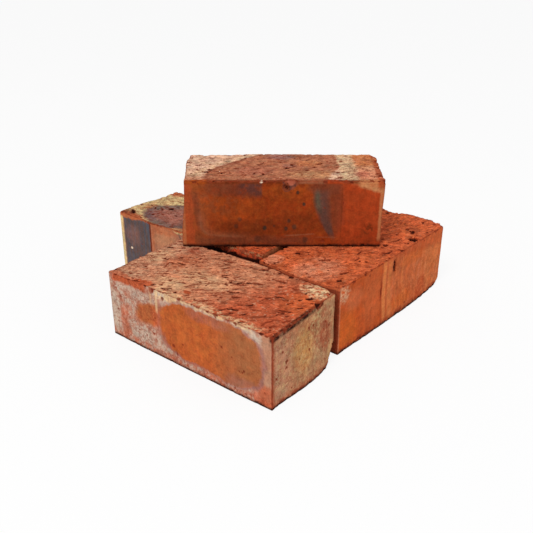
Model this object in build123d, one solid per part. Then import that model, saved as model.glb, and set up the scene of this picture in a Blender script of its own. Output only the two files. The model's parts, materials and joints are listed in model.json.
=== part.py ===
from build123d import *
import math
import os

# A small stack of solid fired-clay bricks: three lie on their beds on the ground and a fourth lies
# across them. Lengths are in millimetres and angles in degrees. +Z is up and the ground is z = 0.
# +X runs along the top brick, +Y runs away from the side that the front brick lies on, and the
# origin is on the ground under the middle of the stack.

# One brick, the same for all four
BRICK_LENGTH = 215.0
BRICK_WIDTH = 104.0
BRICK_HEIGHT = 75.0
ARRIS_RADIUS = 1.2  # the edge between two faces
FRONT_END_SKEW = 6.0  # the front brick's right end runs in by this much over its width
TOP_END_SKEW = -5.0  # the same for the top brick's right end, which runs out

# How the three on the ground are turned
FRONT_TURN = -39.0  # the front brick's long axis, from +X
RIGHT_TURN = 89.0  # the right brick's long axis, from the front brick's
BACK_TURN = 4.3  # the back brick's long axis, from the front brick's

# How they are spaced, along and across the front brick
RIGHT_GAP = 8.4  # from the plane of the front brick's back face to the right brick
RIGHT_INSET = 2.0  # the right brick's outer side stands this far back from the front brick's end
BACK_GAP = 7.7  # from the plane of the front brick's back face to the back brick
END_GAP = 5.7  # from the right brick's inner side to the back brick's end

# The top brick's middle, from the mean of the three middles below it
TOP_SHIFT_X = 19.7
TOP_SHIFT_Y = 48.9

# Broken corners: how far each break reaches along the length, the width and the height
TOP_CORNER_BREAK = (9.0, 14.0, 12.0)
RIGHT_CORNER_BREAK = (10.0, 14.0, 9.0)
FRONT_CORNER_BREAK = (7.0, 12.0, 26.0)

# Chips knocked out of an arris. Each is a round scoop, placed along its arris from the middle.
TOP_CHIP_RADIUS = 9.0
TOP_CHIP_DEPTH = 5.0
TOP_CHIP_PLACE = 7.5
FRONT_CHIP_RADIUS = 8.0
FRONT_CHIP_DEPTH = 4.5
FRONT_CHIP_PLACE = 33.0


def brick_blank(end_skew=0.0):
    """A brick on its bed, centred on the origin in plan, with slightly rounded arrises."""
    half_length, half_width = BRICK_LENGTH / 2, BRICK_WIDTH / 2
    outline = Polyline(
        (-half_length, -half_width),
        (half_length, -half_width),
        (half_length - end_skew, half_width),
        (-half_length, half_width),
        close=True,
    )
    block = extrude(make_face(outline), BRICK_HEIGHT)
    return fillet(block.edges(), ARRIS_RADIUS)


def break_corner(brick, sides, reach, end_skew=0.0):
    """Splits off the corner that sides names: -1 or 1 along the length, the width and the height."""
    length_side, width_side, height_side = sides
    corner = Vector(
        length_side * BRICK_LENGTH / 2 - end_skew,
        width_side * BRICK_WIDTH / 2,
        BRICK_HEIGHT if height_side > 0 else 0.0,
    )
    outward = Vector(*(side / distance for side, distance in zip(sides, reach)))
    on_the_break = corner - Vector(length_side * reach[0], 0, 0)
    return split(brick, bisect_by=Plane(origin=on_the_break, z_dir=outward), keep=Keep.BOTTOM)


def chip_arris(brick, at, outward, radius, depth):
    """Scoops a chip out of the arris at a point, to this depth inwards from the arris."""
    centre = at + outward.normalized() * (radius - depth)
    return brick - Pos(centre) * Sphere(radius)


def front_brick():
    brick = break_corner(brick_blank(FRONT_END_SKEW), (1, 1, -1), FRONT_CORNER_BREAK, FRONT_END_SKEW)
    skew_there = FRONT_END_SKEW * (0.5 + FRONT_CHIP_PLACE / BRICK_WIDTH)
    at = Vector(BRICK_LENGTH / 2 - skew_there, FRONT_CHIP_PLACE, BRICK_HEIGHT)
    return chip_arris(brick, at, Vector(1, 0, 1), FRONT_CHIP_RADIUS, FRONT_CHIP_DEPTH)


def right_brick():
    return break_corner(brick_blank(), (1, -1, -1), RIGHT_CORNER_BREAK)


def back_brick():
    return brick_blank()


def top_brick():
    brick = break_corner(brick_blank(TOP_END_SKEW), (1, 1, 1), TOP_CORNER_BREAK, TOP_END_SKEW)
    at = Vector(TOP_CHIP_PLACE, -BRICK_WIDTH / 2, BRICK_HEIGHT)
    return chip_arris(brick, at, Vector(0, -1, 1), TOP_CHIP_RADIUS, TOP_CHIP_DEPTH)


def half_extents(turn):
    """Half the length and half the width of the box that a brick turned this far fills in plan."""
    cosine, sine = abs(math.cos(math.radians(turn))), abs(math.sin(math.radians(turn)))
    along = (BRICK_LENGTH * cosine + BRICK_WIDTH * sine) / 2
    across = (BRICK_LENGTH * sine + BRICK_WIDTH * cosine) / 2
    return along, across


def ground_places():
    """Where each brick on the ground lies, worked out along the front brick and then turned with it."""
    right_along, right_across = half_extents(RIGHT_TURN)
    back_along, back_across = half_extents(BACK_TURN)
    right_x = BRICK_LENGTH / 2 - RIGHT_INSET - right_along
    right_y = BRICK_WIDTH / 2 + RIGHT_GAP + right_across
    back_x = right_x - right_along - END_GAP - back_along
    back_y = BRICK_WIDTH / 2 + BACK_GAP + back_across
    along_front = {
        "brick_front": Location((0, 0, 0)),
        "brick_right": Location((right_x, right_y, 0), (0, 0, RIGHT_TURN)),
        "brick_back": Location((back_x, back_y, 0), (0, 0, BACK_TURN)),
    }
    return {name: Rot(0, 0, FRONT_TURN) * place for name, place in along_front.items()}


def top_place(below):
    """The top brick lies flat on the three below it."""
    middle = sum((place.position for place in below.values()), Vector()) / len(below)
    return Location(middle + Vector(TOP_SHIFT_X, TOP_SHIFT_Y, BRICK_HEIGHT))


def stack():
    """The four bricks in place, with the origin on the ground under the middle of the whole."""
    places = ground_places()
    places["brick_top"] = top_place(places)
    shapes = {
        "brick_front": front_brick(),
        "brick_right": right_brick(),
        "brick_back": back_brick(),
        "brick_top": top_brick(),
    }
    bricks = {name: places[name] * shape for name, shape in shapes.items()}
    middle = Compound(list(bricks.values())).bounding_box().center()
    to_origin = Vector(-middle.X, -middle.Y, 0)
    for name, place in places.items():
        print(name, "stands at", place.position + to_origin, "turned", place.orientation.Z)
    return {name: Pos(to_origin) * brick for name, brick in bricks.items()}


if __name__ == "__main__":
    os.makedirs("parts", exist_ok=True)
    for name, brick in stack().items():
        brick.label = name
        export_step(brick, f"parts/{name}.step")
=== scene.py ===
import json
import math
import random

import bmesh
import bpy
from bpy.props import FloatProperty, FloatVectorProperty, PointerProperty
from bpy.types import Operator, Panel, PropertyGroup
from mathutils import Matrix, Vector, kdtree, noise


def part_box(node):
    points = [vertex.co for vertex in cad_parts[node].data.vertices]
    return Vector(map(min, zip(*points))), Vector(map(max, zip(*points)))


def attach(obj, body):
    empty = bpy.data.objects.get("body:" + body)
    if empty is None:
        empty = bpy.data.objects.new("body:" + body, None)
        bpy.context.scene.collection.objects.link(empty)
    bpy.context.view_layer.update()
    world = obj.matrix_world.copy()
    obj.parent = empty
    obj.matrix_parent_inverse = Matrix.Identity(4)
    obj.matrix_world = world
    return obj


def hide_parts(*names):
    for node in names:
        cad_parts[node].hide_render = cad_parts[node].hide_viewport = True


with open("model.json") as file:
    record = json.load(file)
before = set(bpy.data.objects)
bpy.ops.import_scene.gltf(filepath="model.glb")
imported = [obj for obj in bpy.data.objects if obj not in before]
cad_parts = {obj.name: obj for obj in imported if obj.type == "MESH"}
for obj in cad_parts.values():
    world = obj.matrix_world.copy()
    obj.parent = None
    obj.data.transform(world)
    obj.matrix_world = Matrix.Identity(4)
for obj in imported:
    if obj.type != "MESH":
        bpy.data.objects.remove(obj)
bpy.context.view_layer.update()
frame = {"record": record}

bl_info = {
    "name": "Weathered clay bricks",
    "version": (1, 0, 0),
    "blender": (4, 5, 0),
    "location": "3D View > Sidebar > Bricks",
    "description": "Builds a small stack of weathered clay bricks and the white studio round it",
    "category": "Add Mesh",
}

MOUNT_AT = {mount["name"]: Vector(mount["pos_m"]) for mount in frame["record"]["mounts"]}
TOP_LOW, TOP_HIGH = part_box("brick_top")
TOP_HEIGHT = TOP_HIGH.z - TOP_LOW.z
TOP_WIDTH = TOP_HIGH.y - TOP_LOW.y
TOP_LENGTH = 2 * (MOUNT_AT["top_face"].x - TOP_LOW.x)  # its left end is square, and its right end isn't
FRONT_TURN, RIGHT_TURN, BACK_TURN, TOP_TURN = -39.0, 50.0, -34.7, 0.0  # in degrees, as in the CAD
MM = 0.001
PICTURE_WIDTH = 533.0  # in pixels


def tint(code, text):
    """A colour, written as six hexadecimal digits and kept as the linear values that a shader takes."""
    channels = [int(code[start:start + 2], 16) / 255 for start in (0, 2, 4)]
    default = [c / 12.92 if c <= 0.04045 else ((c + 0.055) / 1.055) ** 2.4 for c in channels]
    return FloatVectorProperty(
        name=text, description=text, subtype="COLOR", min=0, max=1, default=default
    )


def number(name, default, description, unit="NONE"):
    return FloatProperty(name=name, description=description, unit=unit, default=default)


def length(name, default, description):
    """A size in metres, written here in millimetres."""
    return number(name, default * MM, description, "LENGTH")


class BrickSizes(PropertyGroup):
    """What all four bricks share."""

    brick_length: length("Length", TOP_LENGTH / MM, "How long a brick is")
    brick_width: length("Width", TOP_WIDTH / MM, "How wide a brick is")
    brick_height: length("Height", TOP_HEIGHT / MM, "How high a brick is")
    arris: length("Arris", 1.2, "Radius of the edge between two faces")
    pitch: length("Grid", 0.9, "Spacing of the points along the beds")
    pitch_up: length("Grid upwards", 1.25, "Spacing of the points upwards")
    wave: length("Wave", 0.35, "How far a face is from flat")
    crest: length("Crest", 0.65, "How far the bed's crests are worn level")
    bed_relief: length("Bed relief", 1.7, "Depth of the torn surface of a bed")
    side_relief: length("Side relief", 0.35, "Depth of the unevenness of a smooth face")


class FrontTints(PropertyGroup):
    """Colours of the front brick."""

    bed: tint("C27F5C", "Upper bed")
    bed_pink: tint("C28C6B", "Upper bed, towards its left end")
    bed_red: tint("B25737", "Upper bed, towards its right end")
    bed_pale: tint("CEA279", "Bed, pale patches")
    bed_orange: tint("BC5A30", "Bed, orange patches")
    cream: tint("D3AF84", "Lime at the corner and the near arris")
    scum: tint("AF7D67", "The washed-out left third")
    white: tint("BDA591", "The whitest patches")
    flash: tint("B0582B", "The orange flash")
    flash_bright: tint("BC642E", "Flash, brightest part")
    flash_dull: tint("9C613C", "Flash, duller part")
    rim: tint("93625A", "The purple line round the flash")
    strip: tint("AF7C60", "Beside the right corner")
    red: tint("BA5A36", "Raw clay at the arrises")
    end: tint("A87A57", "The right end")
    end_yellow: tint("B08247", "End, yellow stain")
    end_pale: tint("BB9365", "End, pale patches")
    dark_red: tint("8A3A24", "Dark red scratches and smudges")
    end_green: tint("9E885E", "End, greenish spots")
    end_red: tint("9D5A3C", "End, red stain")


class RightTints(PropertyGroup):
    """Colours of the right brick."""

    bed: tint("C7623A", "Upper bed")
    bed_pale: tint("D28562", "Bed, pale patches")
    bed_orange: tint("CB6436", "Bed, orange patches")
    left: tint("AF4E23", "The left third")
    orange: tint("BD5B22", "Beside the near corner")
    ridge: tint("C8713D", "The pale ridge")
    groove: tint("8F3A1C", "The dark line beside the ridge")
    middle: tint("B15C34", "Right of the ridge")
    salmon: tint("C06E47", "Pale streaks")
    deep: tint("AC4823", "The far upper part")
    pale: tint("CDA07C", "Pale flake at the near corner")
    end: tint("9B4328", "The near end")


class BackTints(PropertyGroup):
    """Colours of the back brick."""

    # This red is lifted brighter where the bed shows under the top brick, to outweigh that brick's shadow: partly
    # its own red, partly painted light.
    bed: tint("CB5A30", "Upper bed")
    cream: tint("D5BA84", "Yellow cream at the left end")
    grey: tint("706058", "The burnt ring on the upper bed")
    core: tint("9E6858", "Inside the burnt ring")
    corner: tint("B4653F", "Raw clay at the left corner")
    panel: tint("604E49", "The burnt panel on the long face")
    panel_blue: tint("565359", "Panel, bluest part")
    line: tint("562F25", "The dark line at its end")
    salmon: tint("AE7459", "Right of the burnt panel")
    # Far brighter and redder than the clay itself: painted light that lifts the top brick's shadow on this part of
    # the long face.
    inner: tint("D34824", "Below the top brick")
    crumb: tint("C89064", "Tan crumbs on the arris")
    purple: tint("735554", "Purple grey on the upper bed")


class TopTints(PropertyGroup):
    """Colours of the top brick."""

    face: tint("893612", "The long face, in the flash")
    face_orange: tint("9C4919", "Face, brightest part")
    face_dark: tint("692C11", "Face, burnt part")
    red: tint("983A18", "The red ends")
    patch: tint("51302A", "The burnt patch at the upper arris")
    smoke: tint("6C3724", "Brown haze round the burnt places")
    crescent: tint("4F3932", "The burnt crescent")
    crescent_green: tint("54503F", "Crescent, greenish upper edge")
    chip: tint("AF6651", "Fresh clay in the chip")
    arc: tint("935A3E", "The pale arc at the lower left")
    tan: tint("B4774C", "The pale wedge at the upper right")
    bed: tint("AE6F4F", "Upper bed, inside the flash")
    bed_red: tint("A7614B", "Bed, reddest part")
    bed_purple: tint("8A625C", "Bed, burnt rim")
    bed_orange: tint("C17748", "Bed, warmest patches")
    bed_tan: tint("BB8A5F", "Bed, palest part")
    bed_pink: tint("D7A98D", "Upper bed, outside the flash")
    bed_cream: tint("D3B086", "The cream band beside the flash")
    bed_right: tint("D28B67", "Bed, right end")
    spot: tint("3A2C22", "Dark iron spots")


class ClayTints(PropertyGroup):
    """Colours that every brick shares."""

    # crack and crack_rim also serve as painted shade: in and round the pits and cracks, at the foot of each brick,
    # in the gaps round the back brick and in two chips.
    crack: tint("2A0C06", "Deepest inside cracks and pits")
    crack_rim: tint("7E2F19", "Round cracks and pits")
    broken: tint("98492C", "Where a piece has broken off")
    # Laid only along the foot of each brick: partly grime, partly painted contact shade.
    dirt: tint("3A1A10", "Dirt along the arrises")
    dark_fleck: tint("8A3F26", "Dark flecks in the clay")
    pale_fleck: tint("D9AC8A", "Pale flecks in the clay")
    lime: tint("E6CDB0", "Small grains of lime")


class StudioSizes(PropertyGroup):
    """The camera, the light and the floor."""

    camera_at: FloatVectorProperty(
        name="Camera", description="Where the camera stands", unit="LENGTH",
        default=(-0.0143, -0.6759, 0.3700),
    )
    camera_pitch: number("Pitch", math.radians(25.15), "How far the camera looks down", "ROTATION")
    focal_pixels: number("Focal length", 675.3, "The camera's focal length, in pixels of the picture")
    sky: number("Sky", 0.66, "Strength of the light from all round")
    key: number("Key", 22.0, "Power of the large lamp, in watts", "POWER")
    fill: number("Fill", 7.0, "Power of the lamp at the right, in watts", "POWER")
    floor_size: length("Floor", 12000, "How far the floor reaches from the stack")
    floor_white: number("Floor white", 0.88, "How far the camera sees the floor as plain white")


def maths(operation, turned=False):
    """An operator that adds a Math node, or its reflected form."""
    def apply(self, *other):
        values = (*other, self) if turned else (self, *other)
        return self.paint.node("ShaderNodeMath", {"operation": operation}, values)
    return apply


class Wire:
    """One value in a material. Arithmetic on it adds the Math nodes."""

    def __init__(self, paint, socket):
        self.paint = paint
        self.socket = socket

    __add__ = __radd__ = maths("ADD")
    __mul__ = __rmul__ = maths("MULTIPLY")
    __sub__, __rsub__ = maths("SUBTRACT"), maths("SUBTRACT", turned=True)
    __truediv__ = maths("DIVIDE")
    __pow__ = maths("POWER")
    __and__, __or__ = maths("MINIMUM"), maths("MAXIMUM")
    __abs__ = maths("ABSOLUTE")


class Paint:
    """The nodes of a new material or a new sky."""

    def __init__(self, holder):
        self.holder = holder
        holder.use_nodes = True
        self.tree = holder.node_tree
        self.tree.nodes.clear()

    def node(self, kind, settings=None, inputs=(), output=0):
        """Adds a node: its settings first, then the values or wires of its inputs."""
        made = self.tree.nodes.new(kind)
        for name, value in (settings or {}).items():
            setattr(made, name, value)
        for key, value in inputs.items() if isinstance(inputs, dict) else enumerate(inputs):
            if isinstance(value, Wire):
                self.tree.links.new(value.socket, made.inputs[key])
            else:
                made.inputs[key].default_value = value
        return Wire(self, made.outputs[output]) if made.outputs else None

    def vector(self, operation, *values):
        return self.node("ShaderNodeVectorMath", {"operation": operation}, values)

    def apart(self, vector):
        """The three parts of a vector."""
        split = self.node("ShaderNodeSeparateXYZ", inputs=[vector])
        return tuple(Wire(self, output) for output in split.socket.node.outputs)

    def attribute(self, name):
        return self.node("ShaderNodeAttribute", {"attribute_name": name}, output="Fac")

    def step(self, value, start, end):
        """0 before start and 1 after end, with a smooth rise between them."""
        return self.node("ShaderNodeMapRange", {"interpolation_type": "SMOOTHSTEP"}, (value, start, end))

    def band(self, value, start, end, soft):
        """1 between start and end, with soft borders."""
        return self.step(value, start - soft, start + soft) * self.step(value, end + soft, end - soft)

    def reach(self, u, v, middle, radii, power=2.0):
        """0 in the middle of a rounded shape and 1 on its outline."""
        across = abs((u - middle[0]) / radii[0]) ** power
        return across + abs((v - middle[1]) / radii[1]) ** power

    def blob(self, u, v, middle, radii, soft):
        """1 inside a rounded shape, with a soft border."""
        return self.step(self.reach(u, v, middle, radii), 1 + soft, 1 - soft)

    def noise(self, vector, size, detail, rough, output=0):
        """Smooth noise about 0.5, with features of this size."""
        inputs = {"Vector": vector, "Scale": 1 / size, "Detail": detail, "Roughness": rough}
        return self.node("ShaderNodeTexNoise", None, inputs, output)

    def stretch(self, vector, sizes, turn=0.0):
        """Coordinates in which a feature of size 1 has these sizes."""
        scale = tuple(1 / size for size in sizes)
        turned = self.node("ShaderNodeMapping", {"vector_type": "POINT"}, {0: vector, "Rotation": (0, 0, -turn)})
        return self.node("ShaderNodeMapping", {"vector_type": "POINT"}, {0: turned, "Scale": scale})

    def warp(self, vector, size, reach):
        """Coordinates pushed about by up to half this reach."""
        shifted = self.vector("SUBTRACT", self.noise(vector, size, 3, 0.55, 1), (0.5, 0.5, 0.5))
        return self.vector("MULTIPLY_ADD", shifted, (reach,) * 3, vector)

    def specks(self, vector, spacing, radius, share):
        """Round specks, in this share of the cells of a scattered grid."""
        near = self.node("ShaderNodeTexVoronoi", None, {"Vector": vector, "Scale": 1 / spacing}, "Distance")
        cell = self.apart(Wire(self, near.socket.node.outputs["Color"]))[0]
        chosen = self.step(cell, share + 0.02, share - 0.02)
        return self.step(near, radius / spacing, radius / spacing * 0.55) * chosen


def add_object(name, data, at=(0, 0, 0), turn=(0, 0, 0)):
    """Puts a new object in the scene."""
    made = bpy.data.objects.new(name, data)
    made.location, made.rotation_euler = at, turn
    bpy.context.scene.collection.objects.link(made)
    return made


def new_mesh(name, bm):
    mesh = bpy.data.meshes.new(name)
    bm.to_mesh(mesh)
    bm.free()
    return mesh


class ClayBrick:
    """A brick in the making: a fine grid of points that wear and marks are pressed into.

    It is worked in its own axes and in millimetres, standing on z = 0: x runs along it, y across it
    and z up, from the middle of its underside."""

    def __init__(self, sizes, seed, drag_angle):
        self.sizes = sizes
        self.half = Vector((sizes.brick_length, sizes.brick_width, sizes.brick_height)) / (2 * MM)
        self.middle = Vector((0, 0, self.half.z))
        self.top = 2 * self.half.z
        self.random = random.Random(seed)
        noise.seed_set(seed)  # noise_vector starts from the clock otherwise
        self.offset = Vector((seed * 17.3, seed * 5.1, seed * 9.7))
        self.drag_angle = math.radians(drag_angle)
        self.along_drag = Matrix.Diagonal((0.4, 1, 1)) @ Matrix.Rotation(-self.drag_angle, 3, "Z")
        self.bm = self.grid()
        self.points, self.outward, self.swells = [], [], []
        for vert in self.bm.verts:
            self.round_off(vert.co)
        self.block = [point.copy() for point in self.points]
        self.sunk = [0.0] * len(self.points)
        # deep and dark become attributes that the clay turns into painted shade: darker hollows and dark dents.
        self.marks = {name: [0.0] * len(self.points) for name in ("deep", "dark", "broken")}
        self.tree = kdtree.KDTree(len(self.points))
        for index, point in enumerate(self.points):
            self.tree.insert(point, index)
        self.tree.balance()

    def grid(self):
        """A box of small square faces."""
        bm = bmesh.new()
        stand = Matrix.Translation(self.middle) @ Matrix.Diagonal((*(2 * self.half), 1))
        bmesh.ops.create_cube(bm, size=1.0, matrix=stand)
        for axis, pitch in enumerate((self.sizes.pitch, self.sizes.pitch, self.sizes.pitch_up)):
            along = [e for e in bm.edges if abs((e.verts[0].co - e.verts[1].co)[axis]) > pitch / MM / 2]
            cuts = round(2 * self.half[axis] / (pitch / MM)) - 1
            bmesh.ops.subdivide_edges(bm, edges=along, cuts=cuts, use_grid_fill=True)
        return bm

    def round_off(self, corner):
        """Notes where a point of the box lies once its arris is rounded, and which way is out."""
        radius = self.sizes.arris / MM
        inner = Vector(
            max(radius - half, min(half - radius, at)) for at, half in zip(corner - self.middle, self.half)
        ) + self.middle
        outward = (corner - inner).normalized()
        self.points.append(inner + outward * radius)
        self.outward.append(outward)

    def lumps(self, point, size):
        return noise.noise((point + self.offset) / size)

    def mark(self, name, index, amount, most=1.0):
        values = self.marks[name]
        values[index] = max(values[index], min(1.0, amount) * most)

    def press(self, at, radius, depth, darkness=1.0, broken=0.0):
        """Presses a small dent into the surface round a point, with a ragged border."""
        for point, index, distance in self.tree.find_range(at, radius * 1.4):
            fall = 1 - (distance / (radius * (1 + 0.6 * self.lumps(point, 1.9)))) ** 2
            if fall > 0:
                self.sunk[index] = max(self.sunk[index], depth * fall)
                # The dark mark makes the clay paint the dent dark, partly as painted shade inside it.
                self.mark("dark", index, 2.2 * fall, darkness)
                self.mark("broken", index, 2.0 * fall, broken)

    def holes(self, depth, *rows):
        """Holes in the upper bed, this deep for their radius: x, y, radius and darkness."""
        for x, y, radius, *darkness in rows:
            self.press((x, y, self.top), radius, radius * depth, *darkness)

    def nicks(self, place, depth, darkness, *rows):
        """Nicks in an arris, which runs where place has None: where along it, and the radius."""
        for along, radius in rows:
            self.press([along if at is None else at for at in place], radius, radius * depth, darkness)

    def tear(self, start, end, width, depth, bend=0.0, darkness=1.0):
        """Drags a torn mark from start to end, bowed to its left by bend."""
        start, end = Vector(start), Vector(end)
        along = end - start
        side = Vector((-along.y, along.x, 0)).normalized() * bend
        steps = max(1, round(along.length / 0.8))
        for count in range(steps + 1):
            share = count / steps
            taper = 0.6 + 0.4 * math.sin(math.pi * share)
            at = start + along * share + side * 4 * share * (1 - share)
            at += noise.noise_vector((at + self.offset) / 3.0) * 0.6
            self.press(at, width / 2 * taper + 0.4, depth * taper, darkness)

    def tears(self, *rows):
        """Tears on the upper bed: x and y of both ends, then width, depth, bend and darkness."""
        for x, y, end_x, end_y, *shape in rows:
            self.tear((x, y, self.top), (end_x, end_y, self.top), *shape)

    def between(self, most):
        return self.random.uniform(-most, most)

    def anywhere(self, z):
        """A random place at this height."""
        return Vector((self.between(self.half.x), self.between(self.half.y), z))

    def tear_beds(self, count, reach, spread, bow):
        """Scatters the marks that the cutting wire dragged over both beds, mostly short ones."""
        for _ in range(count):
            for z in (self.top, 0.0):
                start = self.anywhere(z)
                turn = self.drag_angle + math.radians(self.random.gauss(0, spread)) + bow * start.x / self.half.x
                stretch = min(self.random.expovariate(1 / reach) + 0.8, 4 * reach)
                end = start + Vector((math.cos(turn), math.sin(turn), 0)) * stretch
                width, depth = self.random.uniform(0.6, 2.2), self.random.uniform(0.6, 1.6)
                self.tear(start, end, width, depth, self.between(0.8), self.random.uniform(0.5, 1.0))

    def pit(self, at, least, usual, most, shares, shades):
        """Presses a pit of random size, depth and darkness."""
        radius = min(least + self.random.expovariate(1 / usual), most)
        self.press(at, radius, radius * self.random.uniform(*shares), self.random.uniform(*shades))

    def pit_faces(self, on_beds, on_sides):
        """Scatters pits over the beds and the sides."""
        for count in range(on_beds):
            self.pit(self.anywhere(self.top * (count % 2)), 0.9, 0.7, 4.0, (0.3, 0.8), (0.5, 1.0))
        for count in range(on_sides):
            at = self.anywhere(0)
            at.z = self.random.uniform(0, self.top)
            axis = 0 if count % 3 == 0 else 1
            at[axis] = math.copysign(self.half[axis], at[axis])
            self.pit(at, 0.6, 0.4, 2.4, (0.2, 0.6), (0.1, 0.7))

    def bite_arrises(self, spacing):
        """Takes bites out of the arrises round the upper bed, and small ones out of the others."""
        for axis, side in ((0, -1), (0, 1), (1, -1), (1, 1)):
            for count in range(round(4 * self.half[axis] / spacing)):
                at = Vector((0, 0, self.top if count % 3 else 0.0))
                at[axis] = self.between(self.half[axis])
                at[1 - axis] = side * self.half[1 - axis]
                radius = min(0.8 + self.random.expovariate(1 / 0.9), 4.2) * (1 if at.z else 0.6)
                shade = self.random.uniform(0.2, 0.9)
                self.press(at, radius, radius * self.random.uniform(0.2, 0.5), shade, 0.6)

    def weather(self, tears, pits, spacing):
        """Scatters the small marks."""
        self.tear_beds(*tears)
        self.pit_faces(*pits)
        self.bite_arrises(spacing)

    def ease(self, at, radius, shift):
        """Moves the surface round a point, less and less out to a radius."""
        self.swells.append((Vector(at), radius, shift[2]))
        for _, index, distance in self.tree.find_range(at, radius):
            self.points[index] += Vector(shift) * (1 - (distance / radius) ** 2) ** 2

    def fray(self, on_bed, on_side, *patches):
        """Crumbles the arrises, out to these reaches on the upper bed and down the sides.

        A patch has a place, a radius and an extra share of wear."""
        lower = (0.25 * on_bed, 0.3 * on_side)
        for index, place in enumerate(self.block):
            for first, second in ((0, 2), (1, 2), (0, 1)):
                away = [self.half[axis] - abs(place[axis] - self.middle[axis]) for axis in (first, second)]
                if max(away) > 12:
                    continue
                signs, at = Vector((0, 0, 0)), place.copy()
                for axis in (first, second):
                    signs[axis] = math.copysign(1, place[axis] - self.middle[axis])
                    at[axis] = self.middle[axis] + signs[axis] * self.half[axis]
                upper = second == 2 and place.z > self.half.z
                wear = self.wear(at, patches)
                reach = [r * wear for r in ((on_bed, on_side) if upper else lower)]
                over = 1 - away[0] / reach[0] - away[1] / reach[1]
                if over > 0:
                    steep = math.hypot(1 / reach[0], 1 / reach[1])
                    signs[first] /= reach[0] * steep
                    signs[second] /= reach[1] * steep
                    self.points[index] -= signs * (over / steep)
                    self.mark("broken", index, over / steep / 0.8)

    def wear(self, at, patches):
        """How worn an arris is at a place on it, as a share of the usual wear."""
        worn = 0.5 + 1.3 * noise.fractal((at + self.offset) / 8, 1.0, 2.1, 3)
        for place, radius, extra in patches:
            distance = (at - Vector(place)).length / radius
            if distance < 1:
                worn += extra * (1 - distance ** 2)
        return max(0.12, worn)

    def settle(self):
        """Lowers every point by its marks and by the unevenness of its face."""
        sizes = self.sizes
        for index, point in enumerate(self.points):
            outward = self.outward[index]
            at = point + self.offset
            lumps = noise.fractal(at / 8, 1.0, 2.1, 3)
            grain = noise.noise(at / 2.0)
            torn = noise.fractal(self.along_drag @ at / 3.6, 1.0, 2.0, 2)
            bed = outward.z ** 2
            hollow = bed * (0.55 * lumps + 0.55 * torn + 0.2 * grain) + (1 - bed) * (0.6 * lumps + 0.4 * grain)
            # The hollows are kept as the deep mark, which the clay darkens as painted shade.
            hollow = self.marks["deep"][index] = max(0.0, min(1.0, 0.5 + 0.5 * hollow))
            rough = bed * (sizes.bed_relief if outward.z > 0 else sizes.side_relief)
            rough += (1 - bed) * sizes.side_relief
            wave = sizes.wave * (0.5 + 0.5 * noise.noise(at / 38))
            crest = sizes.crest if outward.z > 0.7 else 0.0
            level = 0.2 if outward.z < -0.5 else 1.0  # the underside stays nearly flat
            point -= outward * level * (self.sunk[index] + (wave + rough * hollow - crest) / MM)
            point.z = min(point.z, self.crown(point))

    def crown(self, point):
        """How high the surface may stand here: a little over the bed where it swells."""
        rises = (rise * (1 - ((point - place).length / radius) ** 2) for place, radius, rise in self.swells)
        return self.top + max([0.0, *rises])

    def scoop(self, at, radius, depth, outward):
        """Scoops out a chip: a round hollow that reaches depth in from the arris."""
        middle = Vector(at) + Vector(outward).normalized() * (radius - depth)
        for index, point in enumerate(self.points):
            away = point - middle
            ragged = radius * (1 + 0.12 * self.lumps(point, 3.0))
            if away.length < ragged:
                self.points[index] = middle + away.normalized() * ragged
                self.points[index].z = min(self.points[index].z, self.top)
                self.mark("broken", index, 1.0)

    def break_off(self, sides, reach):
        """Breaks off the corner that sides names, out to these reaches along the three arrises."""
        corner = self.middle + Vector(side * half for side, half in zip(sides, self.half))
        outward = Vector(side / distance for side, distance in zip(sides, reach)).normalized()
        edge = corner - Vector((sides[0] * reach[0], 0, 0))
        for index, point in enumerate(self.points):
            ragged = 1.4 * noise.fractal((point + self.offset) / 6, 0.9, 2.0, 3)
            over = (point - edge).dot(outward) - ragged
            if over > 0:
                self.points[index] = point - outward * over
                self.mark("broken", index, 1.0)

    def skew(self, end_skew):
        """Runs the right end out of square."""
        for point in self.points:
            across = 0.5 + point.y / (2 * self.half.y)
            point.x -= end_skew * across * (0.5 + point.x / (2 * self.half.x))

    def finished(self, name, at, turn):
        """The brick as an object, with its place in its mesh and its marks as attributes."""
        layers = {key: self.bm.verts.layers.float.new(key) for key in ("bed", "end", "arris", *self.marks)}
        for index, vert in enumerate(self.bm.verts):
            away = sorted(half - abs(at) for at, half in zip(vert.co - self.middle, self.half))
            vert[layers["arris"]] = max(0.0, 1 - away[1] / 10)
            vert.co = self.points[index]
            outward = [abs(part) for part in self.outward[index]]
            vert[layers["bed"]] = float(outward[2] > max(outward[:2]))
            vert[layers["end"]] = float(outward[0] > outward[1])
            for key, values in self.marks.items():
                vert[layers[key]] = values[index]
        place = Matrix.Translation(at) @ Matrix.Rotation(turn, 4, "Z") @ Matrix.Scale(MM, 4)
        bmesh.ops.transform(self.bm, matrix=place, verts=self.bm.verts)
        bmesh.ops.recalc_face_normals(self.bm, faces=self.bm.faces)
        for face in self.bm.faces:
            face.smooth = True
        return add_object(name, new_mesh(name, self.bm))


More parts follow.
